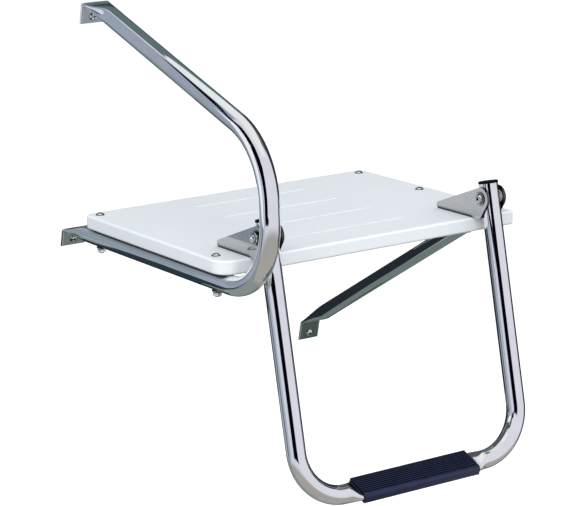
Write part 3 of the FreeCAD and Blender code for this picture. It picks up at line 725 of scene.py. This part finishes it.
def studio_world():
    world = bpy.data.worlds.new("studio")
    world.use_nodes = True
    n = Nodes(world.node_tree)
    direction = n.add("ShaderNodeTexCoord").outputs["Generated"]
    xyz = n.add("ShaderNodeSeparateXYZ", {"Vector": direction}).outputs
    compass = n.math("DEGREES", n.math("ARCTAN2", xyz[0], xyz[1]))
    elevation = n.math("DEGREES", n.math("ARCSINE", xyz[2]))
    colour = PALE_LILAC
    for _, side, half, height, tall, blur, tone in STUDIO_PANELS:
        turned = n.math("WRAP", n.math("SUBTRACT", compass, side), 180.0, -180.0)
        across = soft_step(n, turned, 0.0, half, blur)
        upright = soft_step(n, elevation, height, tall, blur)
        colour = tinted(n, n.math("MULTIPLY", across, upright), colour, tone)
    reflected = n.add("ShaderNodeBackground", {"Color": colour, "Strength": 1.0})
    plain = n.add("ShaderNodeBackground", {"Color": (1.0, 1.0, 1.0, 1), "Strength": 1.0})
    aft_and_up = n.math("SUBTRACT", xyz[2], n.math("MULTIPLY", xyz[1], 0.3))
    sky_range = {"Value": aft_and_up, "From Min": -0.25, "From Max": 0.25, "To Min": 0.08, "To Max": 0.80}
    sky = n.add("ShaderNodeMapRange", sky_range, interpolation_type="SMOOTHSTEP")
    soft = n.add("ShaderNodeBackground", {"Color": (0.95, 0.97, 1.0, 1), "Strength": sky.outputs[0]})
    rays = n.add("ShaderNodeLightPath").outputs
    lit_inputs = {"Fac": rays["Is Glossy Ray"], 1: soft.outputs[0], 2: reflected.outputs[0]}
    lit = n.add("ShaderNodeMixShader", lit_inputs)
    seen_inputs = {"Fac": rays["Is Camera Ray"], 1: lit.outputs[0], 2: plain.outputs[0]}
    seen = n.add("ShaderNodeMixShader", seen_inputs)
    n.add("ShaderNodeOutputWorld", {"Surface": seen.outputs[0]})
    bpy.context.scene.world = world


def card(name, rows, colour):
    """A coloured card, given as rows of two points in millimetres, that only reflections see."""
    points = [Vector(point) * MM for row in rows for point in row]
    faces = [(i, i + 1, i + 3, i + 2) for i in range(0, len(points) - 2, 2)]
    mesh = bpy.data.meshes.new(name)
    mesh.from_pydata(points, [], faces)
    obj = link(bpy.data.objects.new(name, mesh))
    material, n = new_material(name)
    glow = n.add("ShaderNodeEmission", {"Color": (*colour, 1), "Strength": 1.0})
    n.add("ShaderNodeOutputMaterial", {"Surface": glow.outputs[0]})
    paint(obj, material)
    obj.visible_camera = False
    obj.visible_diffuse = False
    obj.visible_shadow = False
    obj.visible_transmission = False


def level_card(name, x_range, y_range, z, colour):
    card(name, [[(x, y, z) for y in y_range] for x in x_range], colour)


def back_card(name, x_range, z_range, colour):
    """A card across the stern, forward of the object."""
    card(name, [[(x, BACK_CARD_Y, z) for z in z_range] for x in x_range], colour)


def handrail_place(travel):
    """Centreline point and direction, travel millimetres up from the end of the upright part."""
    bend_length = RAIL_BEND * (math.pi / 2 - RAIL_SLOPE)
    turned = min(max(travel, 0.0), bend_length) / RAIL_BEND
    beyond = travel - turned * RAIL_BEND
    along = heading_vector(math.pi / 2 - turned)
    over = RAIL_BEND * (1 - math.cos(turned))
    rise = RAIL_BEND * math.sin(turned)
    upright_end = Vector((0, BOARD_AFT_Y - RAIL_AFT, upright_top()))
    return upright_end + Vector((0, over, rise)) + along * beyond, along


def mirrored_place(centre, along, share):
    """Where the camera's sight line meets the black card, mirrored by the tube at a share of its radius."""
    sight = (centre - CAMERA_PLACE / MM).normalized()
    facing = (along * sight.dot(along) - sight).normalized()
    normal = facing * math.sqrt(1 - share * share) + along.cross(facing) * share
    surface = centre + normal * TUBE_R
    leaving = sight - normal * (2 * sight.dot(normal))
    return surface + leaving * ((LEFT_CARD_X - surface.x) / leaving.x)


def black_card_rows():
    """Rows of the card that the handrail mirrors as its dark band."""
    rows = []
    steps = 16
    for low, high in zip(DARK_BAND, DARK_BAND[1:]):
        for i in range(steps + 1):
            travel, left, right = [a + (b - a) * i / steps for a, b in zip(low, high)]
            centre, along = handrail_place(travel)
            rows.append([mirrored_place(centre, along, share) for share in (left, right)])
    return rows


def pale_floor():
    mesh = bpy.data.meshes.new("floor")
    size = 6.0
    clearance = 0.35
    height = cad_low.z - clearance
    corners = [(x * size, y * size, height) for x, y in ((-1, -1), (1, -1), (1, 1), (-1, 1))]
    mesh.from_pydata(corners, [], [(0, 1, 2, 3)])
    floor = link(bpy.data.objects.new("floor", mesh))
    material, n = new_material("floor_paper")
    n.surface({
        "Base Color": (0.9, 0.9, 0.9, 1),
        "Roughness": 0.9,
        "Emission Color": (1, 1, 1, 1),
        "Emission Strength": 0.45,
    })
    paint(floor, material)
    floor.visible_glossy = False
    floor.visible_diffuse = False


def area_light(name, place, target, size, power, colour=(1, 1, 1)):
    light = bpy.data.lights.new(name, "AREA")
    light.shape = "RECTANGLE"
    light.size, light.size_y = size
    light.energy = power
    light.color = colour
    obj = link(bpy.data.objects.new(name, light))
    obj.location = place
    obj.rotation_euler = (Vector(target) - Vector(place)).to_track_quat("-Z", "Y").to_euler()
    obj.visible_glossy = False


studio_world()
pale_floor()

# Each card sets one light or dark band along the tubes.
card("black_left", black_card_rows(), BLACK)
card("white_left", [[(LEFT_CARD_X, -405, z), (LEFT_CARD_X, 0, z)] for z in (0, 390)], (0.95, 0.97, 1.0))
card("pale_aft", [[(-215, -680, z), (-30, -790, z)] for z in (60, 420)], PALE_LILAC)
level_card("white_over_rail", (-88, 265), (-800, -125), 540, (0.90, 0.92, 0.90))
level_card("dark_under_rail", (-240, -5), (-200, 100), -100, (0.024, 0.042, 0.051))
level_card("dark_floor", (150, 800), (-500, 350), -400, (0.165, 0.205, 0.20))
level_card("shade_over_board", (50, 160), (-270, -140), 200, (0.28, 0.33, 0.37))
level_card("dark_by_brace", (455, 530), (-45, 30), -300, (0.07, 0.095, 0.08))
back_card("grey_behind_run", (-345, -130), (-60, 200), (0.285, 0.345, 0.385))
back_card("dark_gap", (-260, -130), (-335, -98), (0.04, 0.046, 0.052))
back_card("dark_behind", (-50, 620), (-455, 26), (0.019, 0.025, 0.034))

middle = (cad_low + cad_high) / 2
area_light("key", (-0.9, -1.0, 1.9), middle, (1.6, 1.6), 17.5)
area_light("front", (-0.4, -2.4, 0.2), middle, (1.8, 1.2), 17.0, (0.97, 0.98, 1.0))
area_light("left", (-2.2, -0.9, 0.1), middle, (1.4, 1.2), 17.0, (0.94, 0.97, 1.0))
area_light("fill", (1.4, -1.2, 0.9), middle, (1.4, 1.4), 5.0, (0.95, 0.97, 1.0))


# ---- Camera ----
def photo_camera():
    data = bpy.data.cameras.new("camera")
    data.sensor_width = 36.0
    data.lens = CAMERA_LENS
    camera = link(bpy.data.objects.new("camera", data))
    level = math.cos(CAMERA_PITCH)
    back = Vector((math.sin(CAMERA_YAW) * level, -math.cos(CAMERA_YAW) * level, math.sin(CAMERA_PITCH)))
    right = Z_AXIS.cross(back).normalized()
    up = back.cross(right)
    rolled_right = right * math.cos(CAMERA_ROLL) + up * math.sin(CAMERA_ROLL)
    rolled_up = up * math.cos(CAMERA_ROLL) - right * math.sin(CAMERA_ROLL)
    turn = Matrix((rolled_right, rolled_up, back)).transposed()
    camera.matrix_world = Matrix.Translation(CAMERA_PLACE) @ turn.to_4x4()
    bpy.context.scene.camera = camera


photo_camera()
bpy.context.scene.view_settings.view_transform = "Standard"
